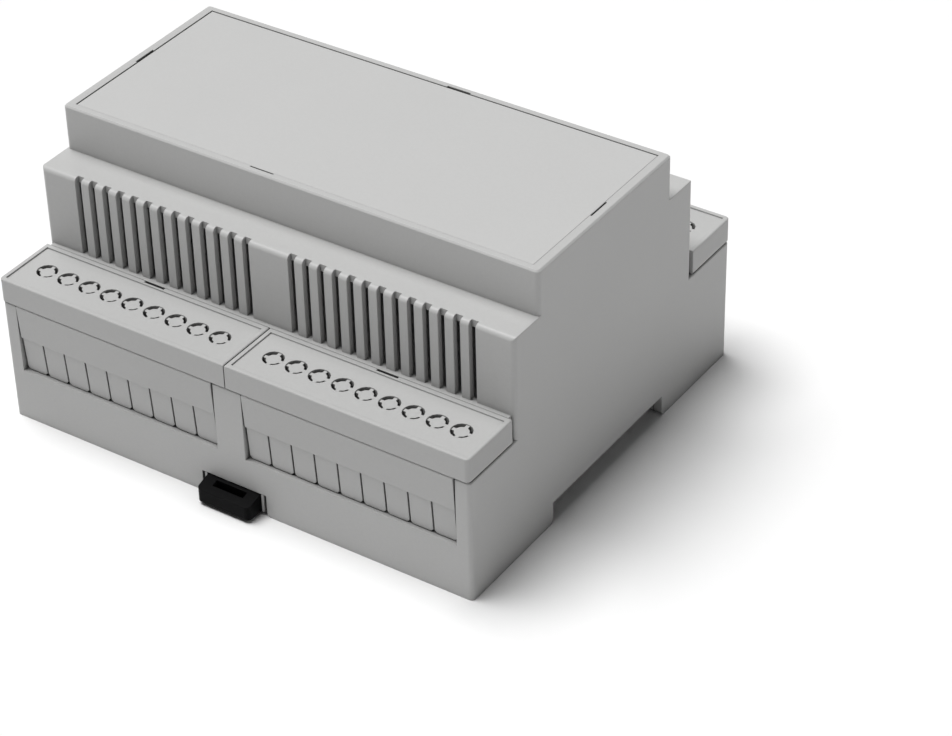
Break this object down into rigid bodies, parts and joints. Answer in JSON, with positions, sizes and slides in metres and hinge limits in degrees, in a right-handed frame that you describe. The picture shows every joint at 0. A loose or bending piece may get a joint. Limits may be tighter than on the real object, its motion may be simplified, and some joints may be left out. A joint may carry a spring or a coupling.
{
  "type": "din rail enclosure",
  "caption": "Stepped plastic enclosure for a top-hat rail, with vented shoulders, lift-off terminal covers with knock-outs and break-off tongues, a flat front panel and a sprung rail clip.",
  "frame": {"origin": "middle of the rail seat, on the rail's centre line and half way along the enclosure", "axes": "+X along the rail, +Z away from the rail towards the front panel, the rail clip on the -Y side"},
  "size_m": [0.1062, 0.0941, 0.058],
  "materials": {
    "housing_plastic": "fine matt texture",
    "panel_plastic": "fine matt texture",
    "cover_plastic": "fine matt texture",
    "base_plastic": "matt",
    "clip_plastic": "satin"
  },
  "bodies": {
    "enclosure_body": {"housing": "housing_plastic", "base": "base_plastic"},
    "front_panel_body": {"front_panel": "panel_plastic"},
    "front_left_cover_body": {"front_left_cover": "cover_plastic"},
    "front_right_cover_body": {"front_right_cover": "cover_plastic"},
    "rear_left_cover_body": {"rear_left_cover": "cover_plastic"},
    "rear_right_cover_body": {"rear_right_cover": "cover_plastic"},
    "rail_clip_body": {"rail_clip": "clip_plastic"}
  },
  "joints": [
    {"name": "front_panel_lift", "type": "slide", "parent": "enclosure_body", "child": "front_panel_body", "axis": [0, 0, 1], "range_m": [0, 0.01]},
    {"name": "front_left_cover_lift", "type": "slide", "parent": "enclosure_body", "child": "front_left_cover_body", "axis": [0, 0, 1], "range_m": [0, 0.016]},
    {"name": "front_right_cover_lift", "type": "slide", "parent": "enclosure_body", "child": "front_right_cover_body", "axis": [0, 0, 1], "range_m": [0, 0.016]},
    {"name": "rear_left_cover_lift", "type": "slide", "parent": "enclosure_body", "child": "rear_left_cover_body", "axis": [0, 0, 1], "range_m": [0, 0.016]},
    {"name": "rear_right_cover_lift", "type": "slide", "parent": "enclosure_body", "child": "rear_right_cover_body", "axis": [0, 0, 1], "range_m": [0, 0.016]},
    {"name": "rail_clip_slide", "type": "slide", "parent": "enclosure_body", "child": "rail_clip_body", "axis": [0, -1, 0], "range_m": [0, 0.003], "stiffness_N_per_m": 3000}
  ]
}
